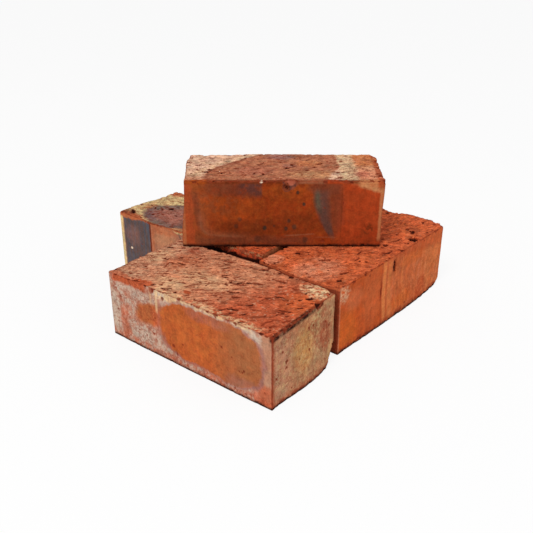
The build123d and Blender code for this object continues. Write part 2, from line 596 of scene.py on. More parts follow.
class Clay(Paint):
    """The fired clay of one brick. Each face has its own colours, and the marks are shared.

    Places are in the brick's own millimetres, made wavy so that no patch has a drawn outline; the
    near ones are less wavy, for small features."""

    def __init__(self, scene, name, at, turn):
        super().__init__(bpy.data.materials.new(f"{name}_clay"))
        self.tints = getattr(scene, f"{name}_tints"), scene.clay_tints
        own_axes = {"Vector": self.node("ShaderNodeTexCoord", output="Object"), "Location": at,
                    "Rotation": (0, 0, turn), "Scale": (MM, MM, MM)}
        self.local = self.node("ShaderNodeMapping", {"vector_type": "TEXTURE"}, own_axes)
        wavy = self.apart(self.warp(self.warp(self.warp(self.local, 17, 9), 5, 5), 1.7, 2))
        near = self.apart(self.warp(self.local, 5, 1.6))
        self.places = (*wavy, *near)
        self.tools = (self.step, self.band, self.flecks, self.veins, self.layers)
        self.patches = [self.patch(*plane) for plane in (wavy[:2], wavy[::2], wavy[1:], near[::2])]

    def patch(self, u, v):
        """Makes rounded patches in a plane, from their middle, their reach and how soft they are."""
        return lambda at_u, at_v, reach_u, reach_v, soft: self.blob(u, v, (at_u, at_v), (reach_u, reach_v), soft)

    def mix(self, mask, under, over):
        """One colour over another: wires, names of tints or three numbers."""
        inputs = {0: mask, 6: under, 7: over}
        for key in (6, 7):
            colour = inputs[key]
            if isinstance(colour, str):
                colour = next(getattr(group, colour) for group in self.tints if hasattr(group, colour))
            inputs[key] = colour if isinstance(colour, Wire) else (*colour, 1)
        return self.node("ShaderNodeMix", {"data_type": "RGBA"}, inputs, 2)

    def layers(self, base, *rows):
        """Colours laid over each other: each row has a tint and the masks that it goes through."""
        for tint, *masks in rows:
            for mask in masks:
                base = self.mix(mask, base, tint)
        return base

    def plain(self, tint, other):
        """A face with nothing but the clay's own clouds."""
        return self.mix(self.flecks(14, 0.5, 0.15) * 0.6, tint, other)

    def faces(self, bed, long_face, end, unseen):
        """The colours of the beds, the near long face, the ends and the far long face."""
        near_y = self.places[4]
        long_face = self.mix(self.step(near_y, -9, 9), long_face, unseen)
        side = self.mix(self.attribute("end"), long_face, end)
        return self.mix(self.step(self.attribute("bed"), 0.3, 0.7), side, bed)

    def flecks(self, size, over, soft=0.05):
        """Ragged flecks where a noise of this size is over a level."""
        return self.step(self.noise(self.local, size, 4, 0.65), over - soft, over + soft)

    def veins(self, size, width, sizes=None, turn=0.0):
        """Thin winding lines, drawn out along the sizes where they are given."""
        path = self.stretch(self.warp(self.local, 30, 10), sizes or (size, size, size), turn)
        return self.step(abs(self.noise(path, 1, 3, 0.6) - 0.5), width, 0)

    def upright(self, size):
        """Noise drawn out upwards, as the mould leaves it."""
        return self.noise(self.stretch(self.local, (size, size, 18 * size)), 1, 3, 0.6)

    def finish(self, tint, drag, coarse=1.0, pale=1.0):
        """Adds what every brick has: mottling, drag lines, grain, specks and cracks, painted shade in the hollows
        and dents, and grime with painted contact shade along the foot.
        """
        step, _, flecks, veins, layers = self.tools
        near_z = self.places[5]
        bed, end, arris, dark, deep, broken = (
            self.attribute(name) for name in ("bed", "end", "arris", "dark", "deep", "broken")
        )
        cloud = self.noise(self.local, 26, 3, 0.6) - 0.5
        patch = self.noise(self.local, 6.5, 4, 0.65) - 0.5
        grain = self.noise(self.local, 1.9, 3, 0.65) - 0.5
        turn = math.radians(drag)
        streak = self.noise(self.stretch(self.local, (10, 1.5, 1.5), turn), 1, 3, 0.6) - 0.5
        lines = veins(1, 0.055, (16, 2.6, 2.6), turn) * flecks(9, 0.5, 0.08)
        tinge = self.mix(self.noise(self.local, 10, 3, 0.6), (1.16, 0.90, 0.80), (0.86, 1.10, 1.22))
        # Painted shade: the hollows of the relief darker and its crests lighter, most on the beds.
        hollow = (deep - 0.5) * (0.35 + bed * 0.75)
        mottle = coarse * (0.58 + bed * 0.47 + end * 0.25)
        value = 1.06 + cloud * 0.55 + (patch * 1.25 + grain * 1.15) * mottle + streak * bed * 1.2 - hollow
        value = value + (self.upright(2.4) - 0.5) * (1 - bed) * 0.35 * coarse
        tinged = {0: self.vector("MULTIPLY", tint, tinge), "Scale": value}
        # The foot of each brick goes darker: partly grime, partly painted contact shade where it stands.
        ground = step(near_z, 4.4, 1.6) * (0.35 + flecks(7, 0.45, 0.12) * 0.65)
        tint = layers(
            self.node("ShaderNodeVectorMath", {"operation": "SCALE"}, tinged),
            ("dark_fleck", flecks(3.2, 0.6) * (0.2 + bed * 0.4) * coarse),
            ("pale_fleck", flecks(4.1, 0.61) * bed * 0.45 * pale),
            ("lime", self.specks(self.local, 17, 0.8, 0.12) * bed * 0.6 * pale),
            ("crack_rim", lines * bed * 0.95),
            ("broken", broken * flecks(5, 0.45, 0.15) * 0.7),
            # Round and inside the dark mark of the dents the clay goes dark red to black: partly painted shade.
            ("crack_rim", step(arris, 0.8, 0.93) * flecks(4, 0.42, 0.12) * 0.5, step(dark, 0.05, 0.45) * 0.8),
            ("crack", step(dark, 0.5, 0.95) * 0.95),
            # Grime and painted contact shade along the foot, then a black line at the very foot: painted contact
            # shade.
            ("dirt", ground * 0.95),
            ("crack", step(near_z, 2.4, 1.0) * 0.8),
        )
        rough = 0.8 + bed * 0.1 + patch * 0.15
        height = grain * (0.4 + bed) + patch * (0.3 + bed) + streak * bed * 0.8
        bumps = {"Strength": 0.6, "Distance": 0.8 * MM, "Height": height}
        normal = self.node("ShaderNodeBump", None, bumps, "Normal")
        look = {"Base Color": tint, "Roughness": rough, "Specular IOR Level": 0.05, "Normal": normal}
        surface = self.node("ShaderNodeBsdfPrincipled", None, look)
        self.node("ShaderNodeOutputMaterial", None, {"Surface": surface})
        return self.holder


def front_clay(scene, at, turn, drag):
    """Washed-out pink with an orange flash on the long face, and a pale end."""
    clay = Clay(scene, "front", at, turn)
    x, y, z, near_x, near_y, near_z = clay.places
    step, band, flecks, veins, layers = clay.tools
    on_bed, on_face, on_end, near_face = clay.patches
    bed = layers(
        "bed", ("bed_pink", step(x, -35, -85)),
        ("bed_pale", on_bed(-14, -6, 30, 14, 0.9) * 0.6, on_bed(-36, -32, 20, 10, 0.9) * 0.8,
         on_bed(-92, 8, 12, 16, 0.9) * 0.6), ("bed_orange", on_bed(-64, 10, 14, 20, 0.9) * 0.5),
        ("bed_red", step(x - y * 0.35, 8, 62)), ("bed_orange", on_bed(90, 14, 20, 22, 0.8) * 0.8),
        ("cream", on_bed(88, 42, 18, 12, 0.7) * flecks(5, 0.46, 0.1),
         step(y, -41, -48) * band(x, 30, 92, 8) * flecks(4, 0.48, 0.08) * 0.8,
         step(y, -38, -48) * band(x, -52, 30, 8) * flecks(6, 0.5, 0.08) * 0.7),
        ("red", on_bed(-60, -49, 13, 6, 0.4) | on_bed(-9, -37, 6, 3, 0.5), on_bed(-90, -50, 18, 5, 0.6) * 0.6),
        ("dark_red", on_bed(-72, 38, 10, 8, 0.8) * 0.7, veins(9, 0.05) * step(x, -30, -80) * 0.5),
    )
    flash = clay.reach(x, z, (31, 40), (64, 31), 3.4)
    within = step(flash, 1.12, 0.86)
    lobe = clay.blob(x - (z - 43) * 0.6, z, (-49, 44), (20, 14), 0.5)
    washed = step(x, -28, -40) | step(z, 14, 8)
    notch = near_face(-43.5, 73, 3, 5.5, 0.6)
    long_face = layers(
        "scum", ("white", flecks(7, 0.5, 0.07) * 0.9, on_face(-101, 32, 8, 24, 0.5), on_face(-57, 17, 15, 9, 0.4)),
        ("dark_red", on_face(-57, 17, 15, 9, 0.4) * flecks(2.6, 0.58) * 0.6),
        ("white", on_face(-62, 62, 20, 7, 0.6) * 0.7), ("red", on_face(-86, 22, 7, 20, 0.7) * 0.6),
        ("white", on_face(88, 64, 10, 8, 0.6) * 0.8), ("strip", step(x, 92, 97)),
        ("red", step(z, 11, 5) * flecks(6, 0.47, 0.1) * 0.6, on_face(98, 12, 14, 12, 0.6) * 0.7), ("flash", lobe),
        ("flash_dull", lobe * 0.45), ("red", band(x, -43, -32, 3) * band(z, 32, 54, 7) * 0.6),
        ("rim", band(flash, 0.95, 1.25, 0.14) * (0.35 + 0.65 * step(x, 40, 85)) * 0.8), ("flash", within),
        ("flash_dull", within * step(x, 26, 70) * 0.8),
        ("rim", within * on_face(74, 12, 20, 8, 0.8) * 0.4, within * on_face(30, 66, 26, 7, 0.8) * 0.4,
         band(flash, 0.8, 1, 0.1) * step(z, 34, 22) * step(x, 50, 10) * 0.7),
        ("flash_bright", within * flecks(8, 0.55, 0.1) * step(x, 60, 30) * 0.5),
        ("dark_red", within * veins(8, 0.05) * flecks(12, 0.5) * 0.35),
        ("cream", step(z - step(x, -36, 2) * 7, 64, 67) * band(x, -37, 84, 4) * flecks(4.5, 0.44, 0.1)),
        ("red", step(z, 64, 68) * band(x, -102, -52, 3)),
        ("dark_red", washed * (1 - within) * veins(9, 0.05) * 0.6, washed * (1 - within) * flecks(3, 0.62) * 0.4),
        ("cream", band(near_x, -38.5, -35.5, 1.2) * step(z, 46, 54) * 0.7,
         band(near_x, -46.5, -44, 1) * step(z, 54, 60) * 0.5), ("dark_red", notch * 0.8),
    )
    end = layers(
        "end", ("scum", step(y, -14, -34) * 0.4), ("end_yellow", on_end(-2, 42, 15, 22, 1.1) * 0.65),
        ("end_green", on_end(18, 54, 8, 8, 0.7) * 0.7, on_end(22, 65, 8, 4, 0.6) * 0.6),
        ("end_pale", on_end(43, 16, 8, 13, 0.6) * 0.8, flecks(5, 0.54) * 0.5),
        ("end_red", on_end(34, 38, 9, 18, 0.7) * flecks(6, 0.45, 0.1),
         on_end(14, 56, 9, 7, 0.6) * veins(5, 0.09) * 0.8, step(z, 11, 3) * flecks(5, 0.42, 0.1) * 0.8,
         on_end(-14, 66, 16, 7, 0.9) * 0.4, step(y, -46, -51)),
        ("dark_red", on_end(28, 50, 16, 18, 0.7) * clay.upright(2) * flecks(4, 0.5) * 0.9,
         veins(5, 0.06) * flecks(8, 0.48) * 0.6),
    )
    end_arris = near_x + near_y * 0.058
    crumbled = step(end_arris, 99.5, 102.5) * step(near_z, 68.5, 71.5) * step(near_y, 30, 6)
    tint = layers(
        clay.faces(bed, long_face, end, clay.plain("strip", "bed_pale")),
        # The far long face, from about x -77 on, painted black: painted shade in the gap toward the back brick.
        ("crack", crumbled * (0.3 + flecks(6, 0.42, 0.12) * 0.7), step(near_y, 50.9, 51.9) * step(near_x, -80, -74)),
        # The end goes darker towards the bottom, in flecks.
        ("crack_rim", clay.attribute("end") * step(near_z, 7, 3) * flecks(5, 0.44, 0.1) * 0.8,
         step(near_x, 105.4, 106.8) * step(near_y, -49.5, -51) * 0.8),
        # Black in the notch at the end's upper corner: painted shade in its hollow.
        ("crack", clay.blob(near_y, near_z, (24, 73), (9, 7), 0.5) * step(x, 98, 101) * clay.attribute("broken")),
    )
    return clay.finish(tint, drag)


def right_clay(scene, at, turn, drag):
    """Orange-red all over, with a pale ridge up the long face."""
    clay = Clay(scene, "right", at, turn)
    x, _, z, near_x, _, near_z = clay.places
    step, band, flecks, veins, layers = clay.tools
    on_bed, on_face, *_ = clay.patches
    bed = layers(
        "bed", ("bed_orange", flecks(14, 0.52, 0.1) * 0.6),
        ("bed_pale", on_bed(-84, -8, 26, 22, 0.9) * flecks(12, 0.42, 0.12) * 0.9,
         on_bed(-95, 42, 12, 10, 0.5) * 0.8), ("deep", flecks(5.5, 0.6) * 0.7),
        ("groove", on_bed(-66, 31, 6, 5, 0.6) * 0.6),
    )
    mottled = clay.noise(clay.stretch(clay.local, (12, 12, 22)), 1, 4, 0.6)
    long_face = layers(
        "middle", ("salmon", step(mottled, 0.44, 0.6) * 0.6, on_face(16, 46, 14, 20, 0.8) * 0.3),
        ("ridge", step(x, 48, 78) * 0.5), ("left", on_face(18, 42, 26, 34, 0.9) * 0.3),
        ("salmon", on_face(94, 20, 9, 10, 0.7) * 0.6),
        ("orange", on_face(10, 16, 22, 9, 0.8) * 0.6, on_face(40, 60, 26, 8, 0.9) * 0.5),
        ("left", step(x, -24, -32)), ("orange", on_face(-92, 20, 18, 24, 0.9) * 0.7),
        ("salmon", on_face(-82, 54, 16, 12, 0.9) * 0.4), ("middle", on_face(-48, 44, 16, 34, 0.8) * 0.5),
        ("ridge", step(clay.upright(4), 0.5, 0.62) * step(x, -12, -4) * 0.5),
        ("left", step(clay.upright(3), 0.5, 0.36) * step(x, -12, -4) * 0.4),
        ("ridge", band(near_x, -27, -20.5, 1.2) * 0.9, band(near_x, -17, -10, 1.5) * 0.7),
        ("left", band(near_x, -20, -17.5, 0.8) * 0.5),
        ("groove", band(near_x, -31, -27.5, 1.4) * (0.3 + 0.7 * on_face(-29, 43, 9, 12, 0.8))),
        ("deep", step(z + x * 0.16, 66, 76) * 0.6), ("groove", on_face(58, 14, 13, 13, 0.5) * veins(6, 0.1) * 0.8),
        # The flecked rows on z below make the long face darker towards the bottom.
        ("deep", on_face(58, 14, 13, 13, 0.6) * 0.4), ("groove", step(z, 9, 4) * flecks(6, 0.45, 0.1) * 0.9),
        ("crack", step(z, 5, 2) * flecks(3.5, 0.48, 0.1) * 0.8),
        ("groove", veins(9, 0.05) * step(x, -14, 0) * flecks(10, 0.48) * 0.4),
        ("pale", on_face(-100, 67, 9, 9, 0.8) * flecks(4, 0.48, 0.1) * 0.8, step(near_x, -105, -106.5) * 0.35),
    )
    end = layers("end", ("bed", step(near_z, 71, 73)))
    tint = clay.faces(bed, long_face, end, clay.plain("left", "middle"))
    return clay.finish(tint, drag, pale=0.35)


def back_clay(scene, at, turn, drag):
    """Salmon with a burnt panel on the long face and a burnt ring on the bed."""
    clay = Clay(scene, "back", at, turn)
    x, y, z, near_x, _, near_z = clay.places
    step, band, flecks, _, layers = clay.tools
    on_bed, on_face, _, near_face = clay.patches
    ring = clay.reach(x + y * 0.12, y, (-46, -18), (44, 34))
    bed = layers(
        "bed", ("cream", step(x, -22, -62)), ("corner", flecks(6, 0.54) * 0.4), ("line", flecks(3, 0.58) * 0.35),
        ("grey", step(ring, 1.25, 0.9) * 0.95),
        ("purple", on_bed(-66, -30, 22, 16, 0.8) * step(ring, 1.25, 0.9) * 0.8), ("core", step(ring, 0.8, 0.2)),
        ("corner", on_bed(-92, -16, 4, 12, 0.7) * 0.6, on_bed(-96, -51, 26, 8, 0.6)),
        ("line", on_bed(-102, -46, 12, 9, 0.6) * flecks(4, 0.46, 0.1) * 0.8),
        ("corner", on_bed(-98, 46, 12, 9, 0.6)), ("crumb", on_bed(-16, -50, 10, 5, 0.6)),
    )
    panel = band(near_x, -101.5, -57.5, 1.4)
    long_face = layers(
        "salmon", ("corner", flecks(9, 0.5, 0.15) * 0.35), ("crumb", on_face(-34, 58, 18, 12, 0.9) * 0.4),
        ("line", step(clay.upright(5), 0.52, 0.66) * 0.12),
        ("corner", band(near_x, -56, -51.5, 1) * 0.5, on_face(-36, 70, 16, 6, 0.8) * 0.7),
        # A cream patch on the upper arris beside the top brick's left end: painted highlight.
        ("cream", near_face(-12, 73.5, 8, 3.5, 0.5)),
        ("panel", band(near_x + (near_z - 70) * 0.4, -12.6, -10.4, 1) * band(near_z, 58, 70, 4) * 0.8),
        # Right of about x 3, in the top brick's shadow, the long face takes the brightened inner red: painted light.
        ("inner", step(x, -6, 12)), ("line", step(x, 12, 40) * flecks(6, 0.52, 0.06) * 0.7),
        ("corner", step(x, 30, 40) * step(z, 55, 64) * flecks(7, 0.5, 0.08) * 0.3),
        ("crumb", step(x, 14, 24) * step(z, 70.5, 72.5) * flecks(5, 0.5, 0.06) * 0.8),
        # Black low on the long face right of about x 11, in the gap between the bricks: painted shade.
        ("crack", step(x, 6, 16) * step(z, 69.5, 66.5)), ("panel", panel),
        ("panel_blue", panel * step(clay.upright(2.5), 0.42, 0.6)),
        ("core", panel * on_face(-88, 52, 12, 12, 1) * 0.3), ("panel_blue", panel * step(z, 30, 20) * 0.4),
        ("line", band(near_x, -58.5, -56.5, 0.8)), ("lime", near_face(-91, 34, 1.8, 1.6, 0.4)),
        ("cream", step(near_x, -101, -104)), ("corner", step(z, 71.5, 74) * step(x, 6, -6)),
    )
    end = clay.mix(step(x, 0, 1), clay.plain("cream", "crumb"), "corner")
    tint = clay.faces(bed, long_face, end, clay.plain("salmon", "corner"))
    return clay.finish(tint, drag, pale=0.6)


def top_clay(scene, at, turn, drag):
    """Deep orange-red with burnt patches on the long face, and a brown flash on the pink bed."""
    clay = Clay(scene, "top", at, turn)
    *_, z, near_x, near_y, near_z = clay.places
    step, band, flecks, _, layers = clay.tools
    *_, near_face = clay.patches
    end = clay.mix(step(z, 58, 70), "red", "tan")
    unseen = clay.plain("red", "face_orange")
    tint = clay.faces(top_bed(clay), top_face(clay), end, unseen)
    edge = step(near_y, -45.5, -48) * step(near_z, 70.5, 73) * (1 - clay.attribute("end"))
    chipped = clay.attribute("broken") * step(near_y, -38, -42)
    far_end = step(near_x - near_y * 0.048, 101, 105) * step(near_z, 62, 70)
    tint = layers(
        tint, ("face_dark", edge * 0.85), ("arc", edge * band(near_x, 16, 45, 3) * 0.7),
        ("face_orange", edge * step(near_x, -78, -84)), ("red", edge * band(near_x, 47, 69, 0.8)),
        ("tan", edge * step(near_x, 77, 84)), ("red", far_end * flecks(6, 0.42, 0.1) * 0.8),
        ("patch", chipped * band(near_x, -3, 18, 1)), ("chip", chipped * near_face(7.6, 73.5, 5.6, 4.6, 0.5)),
        # The dark left part of the chip: painted shadow inside its hollow.
        ("crack", chipped * near_face(4, 67, 3.4, 5.2, 0.5)),
        ("lime", near_face(-22.6, 73.6, 1.9, 1.2, 0.5) * step(near_y, -47, -49)),
    )
    return clay.finish(tint, drag, coarse=1.15, pale=0.35)


def top_bed(clay):
    """Pink with a cream band, and brown inside the flash."""
    x, y, *_ = clay.places
    step, band, flecks, veins, layers = clay.tools
    on_bed, *_ = clay.patches
    rising = (y + 20) / 72
    left_edge = x - ((abs(rising) + rising) / 2) ** 1.3 * 60
    flash = step(left_edge, -86, -80) * step(x + step(y, 5, -45) * 16, 66, 62)
    return layers(
        "bed_pink",
        ("bed_cream", flecks(11, 0.52, 0.1) * 0.4, band(left_edge, -98, -84, 5) * flecks(9, 0.46, 0.1) * 0.6),
        ("bed_right", on_bed(-88, -44, 20, 8, 0.7) * 0.7),
        ("bed_cream", step(x, 60, 66) * (0.6 + flecks(5, 0.5, 0.1) * 0.4)),
        ("bed_orange", step(x, 80, 86) * step(y, -20, 12)), ("bed_right", step(x, 80, 86) * step(y, 12, -20)),
        ("bed_red", on_bed(87, -28, 9, 8, 0.7) * 0.8, veins(7, 0.06) * step(x, 66, 80) * 0.5), ("bed", flash),
        ("bed_red", flash * flecks(8, 0.52, 0.1) * 0.4),
        ("bed_purple", flash * on_bed(-1, 40, 16, 12, 0.8) * 0.8, flash * on_bed(8, 4, 8, 8, 0.9) * 0.4),
        ("bed_red", flash * on_bed(-32, -14, 22, 16, 0.9) * 0.6),
        ("bed_orange", flash * on_bed(30, 14, 14, 12, 0.8) * 0.6),
        ("bed_tan", flash * on_bed(34, -28, 26, 14, 0.9) * 0.7),
        ("smoke", flash * band(left_edge, -85, -77, 3) * 0.5),
    )


def top_face(clay):
    """The burnt patch, the crescent, the pale arc and the iron spots."""
    x, _, z, near_x, _, near_z = clay.places
    step, band, flecks, _, layers = clay.tools
    _, on_face, _, near_face = clay.patches
    height = (near_z - 40) / 28
    middle = 44.2 - height * 5.8 + height * height * 3.8
    aside = (near_x - middle) / (8.5 + height * 3 - height * height * 2)
    crescent = step(abs(aside), 1.15, 0.45) * band(near_z, 12, 63, 6)
    left_band = step(abs(near_x + 91 + (near_z - 40) * 0.12), 5, 1.5) * band(z, 20, 62, 6)
    arc = clay.reach(near_x, near_z, (-20, 62), (69, 50), 8)
    wedge = step(z + (x - 72) * 0.38, 71, 76) * step(x, 68, 76)
    burnt = step(near_x, -20.5, -23.5) * step(z + x * 0.1, 51, 61) * (0.4 + flecks(6, 0.46, 0.12) * 0.6)
    long_face = layers(
        "face",
        ("face_orange", on_face(-60, 44, 36, 14, 0.8) * 0.4, on_face(-96, 70, 14, 8, 0.7) * 0.8,
         on_face(4, 64, 26, 9, 0.9) * 0.5), ("face_dark", flecks(9, 0.52, 0.12) * 0.5),
        ("face_orange", flecks(5, 0.56, 0.08) * 0.4),
        ("face_dark", on_face(-36, 22, 34, 10, 0.9) * 0.6, on_face(20, 28, 30, 14, 1) * 0.4),
        ("smoke", on_face(-64, 68, 18, 9, 0.9) * 0.5, on_face(-70, 52, 26, 20, 0.8) * flecks(5, 0.52, 0.08) * 0.4,
         burnt * step(x, -74, -50) * 0.6), ("patch", burnt * step(x, -52, -40) * 0.9),
        ("smoke", step(z, 16, 8) * step(x, 50, 10) * step(x, -100, -88) * 0.65), ("face", step(z, 5, 2) * 0.6),
        ("red", step(x, -94, -98) | step(x, 55, 66)), ("tan", step(x, -60, -100) * 0.14),
        ("face_dark", step(x, 60, 66) * step(z, 20, 4) * flecks(7, 0.45, 0.12) * 0.6,
         on_face(92, 21, 8, 6, 0.8) * flecks(4, 0.5) * 0.8), ("smoke", left_band * 0.6),
        ("arc", band(arc, 0.55, 1.2, 0.35) * step(x, -24, -60) * step(z, 50, 26) * 0.4,
         band(arc, 0.88, 1.06, 0.1) * step(x, -30, -62) * step(z, 44, 30) * 0.3),
        ("smoke", on_face(45, 67, 18, 8, 0.7) * 0.7, on_face(57, 42, 9, 28, 0.9) * 0.6),
        ("crescent", crescent * 0.85), ("smoke", crescent * step(aside, 0.1, 0.9) * step(z, 20, 34) * 0.7),
        ("crescent_green", crescent * step(aside, 0.1, -0.6) * step(near_z, 34, 50) * 0.8),
        ("face_dark", band(near_x, 62.6, 64.2, 0.7) * band(z, 12, 68, 6) * 0.5),
        ("arc", band(near_z - near_x * 0.06, 12, 13.5, 0.8) * band(x, 4, 34, 4) * 0.5,
         band(near_z, 10.5, 11.5, 0.6) * band(x, 36, 58, 4) * 0.4),
        ("tan", wedge * (0.7 + flecks(5, 0.45, 0.1) * 0.3), step(near_x, 102.5, 104.5) * step(z, 4, 10) * 0.6,
         step(near_x, -103.5, -105.5) * step(z, 72, 62) * 0.5),
    )
    spots = (
        (16, 62, 2, 0.9), (23, 49, 2, 0.9), (7, 30, 2.4, 0.7), (13, 23, 3, 0.7), (4, 21, 2.4, 0.8),
        (-19, 22, 2.6, 0.9), (-46, 32, 2.4, 0.5), (25, 8, 3.4, 0.5), (-27, 9, 4, 0.4), (-9, 24, 1.6, 0.5),
        (-50, 24, 2.6, 0.5),
    )
    for spot_x, spot_z, radius, strength in spots:
        spot = near_face(spot_x, spot_z, radius * 0.85, radius, 0.7)
        long_face = clay.mix(spot * strength, long_face, "spot")
    return long_face


class BrickOperator:
    """What the four brick operators share."""

    bl_options = {"REGISTER", "UNDO"}

    def declare(self, piece, node, slot, clay):
        piece.data.materials.append(clay)
        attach(piece, "root")
        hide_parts(node)
        return {"FINISHED"}


class BRICKS_OT_front(BrickOperator, Operator):
    """Build the front brick, with its long curved tears and the notch in its end"""

    bl_idname = "bricks.front"
    bl_label = "Front brick"

    def execute(self, context):
        scene = context.scene
        at, turn, drag = MOUNT_AT["front_bed"], math.radians(FRONT_TURN), 35  # drag: where the wire ran, in degrees
        brick = ClayBrick(scene.brick_sizes, 3, drag)
        end, side, top = brick.half.x, -brick.half.y, brick.top
        brick.weather((210, 3.8, 12, 0.25), (60, 150), 9)
        brick.tears(
            (-15, -21, 28, 15, 1.3, 1.6, 3, 0.75), (26, 15, 39, 20, 3, 2, 1, 0.7),
            (4, -29, 19, -14, 2.2, 1.6, 0, 0.6), (-8, -30, -1, -22, 2.2, 1.4, 0, 0.6),
            (44, -37, 70, -20, 1.2, 1, 2, 0.6), (42, 34, 56, 36, 2.4, 1.6, 0, 0.7),
            (60, 30, 80, 34, 1, 0.8, 0, 0.5), (8, 14, 10, 21, 1.8, 1.4, 0, 0.6),
            (-71, -1, -67, -11, 1.6, 1.2, 0, 0.6), (-23, -4, -16, -2, 1.6, 1.4, 0, 0.6),
        )
        brick.holes(
            0.8, (54, 49, 3.8, 1), (29, 16, 1.8, 1), (33, -16, 2.2, 0.7), (49, -12, 1.5, 0.7), (40, 48, 2.1, 0.8),
            (-85, 28, 2.2, 0.7), (-100, 13, 1.9, 0.7), (-79, 5, 1.8, 0.6), (-55, -25, 1.6, 0.6),
            (-100, -25, 1.6, 0.6), (-43, 43, 2, 0.7),
        )
        brick.press((end, 22, top), 5, 1.5)
        brick.tear((-42, side, 76), (-42, side, 70), 3, 2, darkness=0.5)
        for x, z in ((48, 43), (-3, 26), (69, 26), (73, 26), (-65, 20), (-54, 18), (-97, 34)):
            brick.press((x, side, z), 1.3, 0.8, 0.6)
        for y, z in ((5, 36), (6, 58), (-36, 53), (35, 51), (14, 57)):
            brick.press((end, y, z), 1.5, 0.9, 0.6)
        brick.ease((-107.5, -52, 75), 75, (0, 0, -1.5))
        for x, back, up in ((-18, 1.2, 2), (32, 1.2, 1.8), (78, 1, 1)):
            brick.ease((x, 52, 75), 50, (0, back, up))
        brick.ease((107.5, 12, 0), 60, (5, 0, 0))
        for x in (-60, 0, 60):
            brick.ease((x, -52, 0), 50, (0, -0.8, 0))
        brick.nicks((end, None, 0), 0.5, 0.8, (-41, 2.4), (-30, 3), (-14, 2.6), (2, 3.2), (15, 2.4), (29, 3.4))
        brick.nicks(
            (None, side, 0), 0.4, 0.6,
            (-92, 2.6), (-74, 3.2), (-52, 2.4), (-18, 2.6), (26, 2.4), (61, 3), (90, 2.6),
        )
        right_arris, left_arris = ((107, -15, 75), 45, 0.8), ((-90, -52, 75), 40, 0.6)
        brick.fray(1.5, 1.1, right_arris, left_arris, ((52, 52, 75), 12, 1.6), ((107, 47, 75), 16, 2))
        brick.settle()
        brick.scoop((end, 24, top), 8, 4.5, (1, 0, 1))
        brick.break_off((1, 1, -1), (7, 12, 26))
        brick.skew(6)
        piece = brick.finished("front_brick", at, turn)
        return self.declare(piece, "brick_front", "clay_front", front_clay(scene, at, turn, drag))


class BRICKS_OT_right(BrickOperator, Operator):
    """Build the right brick, with the large hole in its bed and the ridge up its side"""

    bl_idname = "bricks.right"
    bl_label = "Right brick"

    def execute(self, context):
        scene = context.scene
        at, turn, drag = MOUNT_AT["right_bed"], math.radians(RIGHT_TURN), -35
        brick = ClayBrick(scene.brick_sizes, 7, drag)
        side = -brick.half.y
        brick.weather((60, 2.4, 25, 0.3), (150, 100), 8)
        brick.tears(
            (-64, 4, -57, -4, 3.4, 2.2, 0, 0.75), (-77, -31, -70, -35, 2.8, 1.8, 0, 0.75),
            (22, -27, 42, -32, 1.9, 1.4, -2, 0.75), (-27, -19, -18, -17, 1.6, 1, 0, 0.75),
            (-42, -25, -34, -25, 1.6, 1, 0, 0.75),
        )
        brick.holes(0.8, (48, -44, 6.2), (70, -24, 3.2), (-90, -39, 2.8), (12, -50, 2.8), (-66, 32, 3))
        brick.tear((-3, side, 57), (-5, side, 68), 5.6, 3, darkness=0.9)
        brick.tear((-29, side, 36), (-29, side, 48), 1.8, 0.9, darkness=0.7)
        brick.tear((-29, side, 4), (-29, side, 74), 1.4, 0.5, darkness=0.15)
        brick.nicks((None, side, 0), 0.6, 1, (55, 3.6), (68, 4.6), (86, 3.2), (-62, 3))
        for y, radius, up in ((-18, 28, 3.8), (-40, 18, 2.6), (6, 20, 2), (34, 18, 2.6)):
            brick.ease((107.5, y, 75), radius, (0, 0, up))
        brick.ease((-107.5, -8, 75), 62, (-2.2, 0, -1.5))
        brick.ease((-105, -50, 75), 12, (0, 0, 2.2))
        for x, reach, out in ((-48, 46, -1.6), (0, 50, -2.4), (46, 50, -2.6), (76, 40, -0.8)):
            brick.ease((x, side, 0), reach, (0, out, 0))
        brick.nicks(
            (None, side, 0), 0.5, 0.7,
            (-94, 2.6), (-78, 3.2), (-40, 2.6), (-18, 2.4), (6, 3), (28, 3.4), (96, 3),
        )
        near_corner, end_arris = ((-104, -52, 75), 16, 0.4), ((-107, 0, 75), 62, 1.2)
        brick.fray(1.6, 1.1, near_corner, end_arris, ((70, -52, 0), 40, 1), ((107, 20, 75), 30, -0.3))
        brick.settle()
        brick.break_off((1, -1, -1), (10, 14, 9))
        piece = brick.finished("right_brick", at, turn)
        return self.declare(piece, "brick_right", "clay_right", right_clay(scene, at, turn, drag))


class BRICKS_OT_back(BrickOperator, Operator):
    """Build the back brick, with the burnt panel and the burnt ring"""

    bl_idname = "bricks.back"
    bl_label = "Back brick"

    def execute(self, context):
        scene = context.scene
        at, turn, drag = MOUNT_AT["back_bed"], math.radians(BACK_TURN), 10
        brick = ClayBrick(scene.brick_sizes, 11, drag)
        side, top = -brick.half.y, brick.top
        brick.weather((80, 2.6, 25, 0.3), (70, 120), 9)
        brick.tears((-99, -37, -91, -43, 4.6, 2.4), (-77, -8, -73, -12, 2.6, 1.8, 0, 0.8))
        brick.press((-72, -30, top), 2, 1.4, 0.8)
        brick.tear((-57.5, side, 2), (-57.5, side, 74), 1.3, 0.6, darkness=0.4)
        for x in (54, 70, 84):
            brick.press((x, side, top), 4, 2, 0.3)
        brick.ease((-107.5, -46, 75), 60, (0, 0, 3.6))
        brick.ease((-107.5, -8, 75), 34, (0, 0, 1.8))
        left_corner, left_upright = ((-107, -52, 75), 18, -0.6), ((-107, -52, 37), 40, -0.6)
        brick.fray(1.4, 1, left_corner, left_upright, ((-80, -52, 75), 14, 0.8), ((-60, -52, 75), 8, 1))
        brick.settle()
        piece = brick.finished("back_brick", at, turn)
        return self.declare(piece, "brick_back", "clay_back", back_clay(scene, at, turn, drag))


